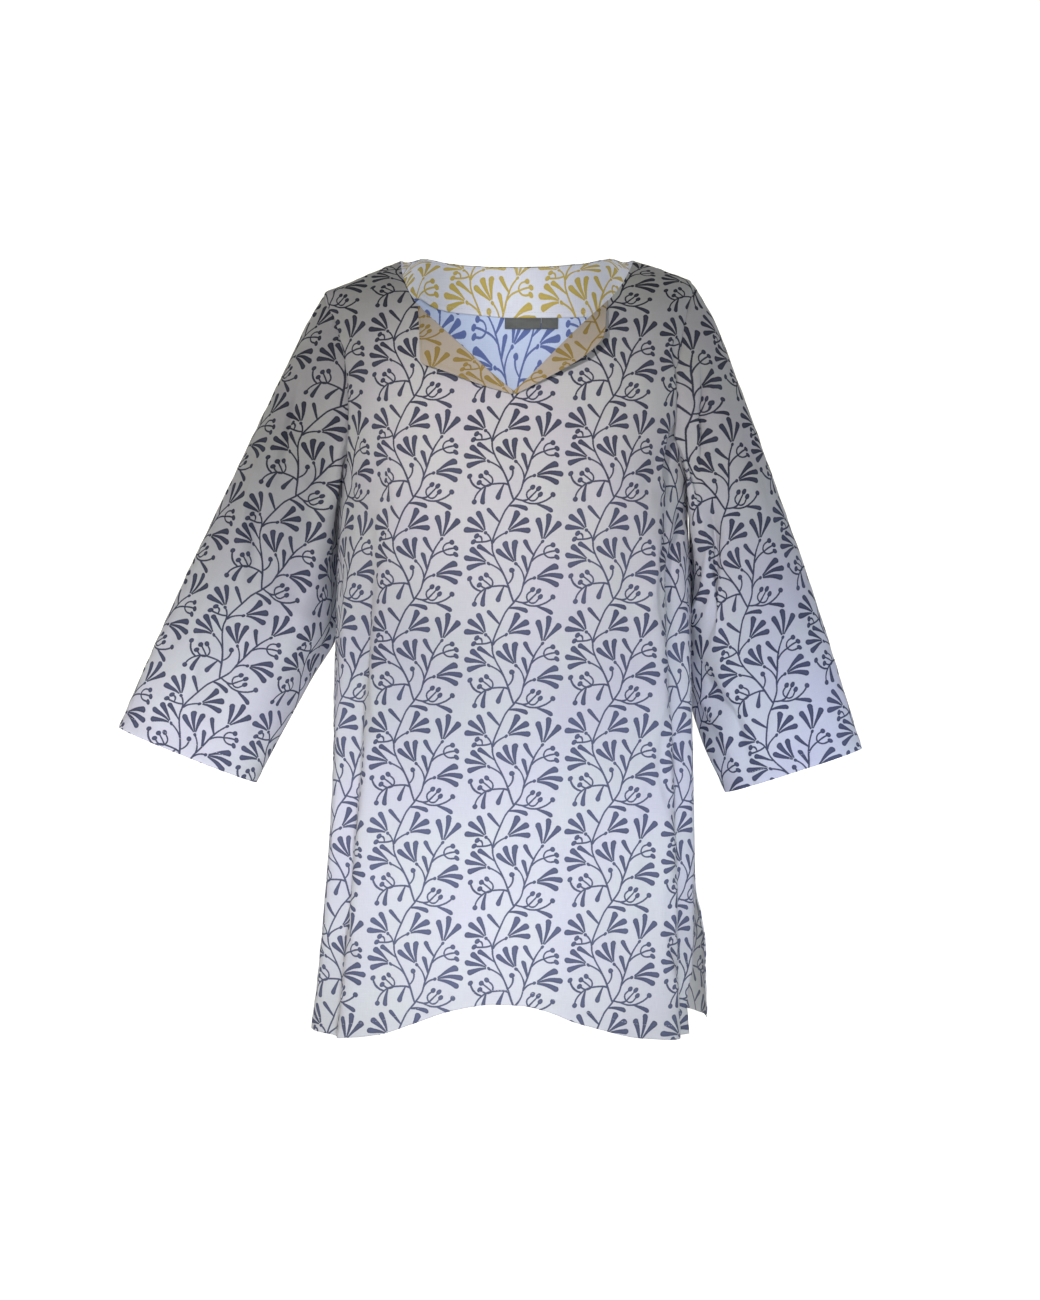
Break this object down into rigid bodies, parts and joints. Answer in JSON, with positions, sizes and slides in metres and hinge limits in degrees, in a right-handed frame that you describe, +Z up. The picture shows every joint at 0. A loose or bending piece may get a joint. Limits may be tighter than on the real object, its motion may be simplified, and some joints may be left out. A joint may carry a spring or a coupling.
{
  "type": "tunic top",
  "caption": "Hollow tunic top in printed cotton, worn form with three-quarter sleeves, slit neck with turned-out facing, arched hem and side vents.",
  "frame": {"origin": "midway between the two points where the shoulder seams meet the neckline, which is where the wearer's shoulders hold the garment", "axes": "+Z up, the front of the garment faces -Y, and the wearer's left arm is on +X"},
  "size_m": [0.743, 0.238, 0.7743],
  "materials": {
    "print_cloth": "matte fine cotton, dark slate leaf and berry print on a pale grey-lavender ground",
    "facing_cloth": "matte fine cotton, ochre leaf and berry print on a pale ground",
    "label_cloth": "matte woven grey-olive tape"
  },
  "bodies": {
    "root": {"front_panel": "print_cloth", "back_panel": "print_cloth", "sleeve_right": "print_cloth", "sleeve_left": "print_cloth", "lapel_right": "facing_cloth", "lapel_left": "facing_cloth", "facing_front": "facing_cloth", "facing_back": "facing_cloth", "label_main": "label_cloth", "label_size": "label_cloth"}
  },
  "joints": []
}
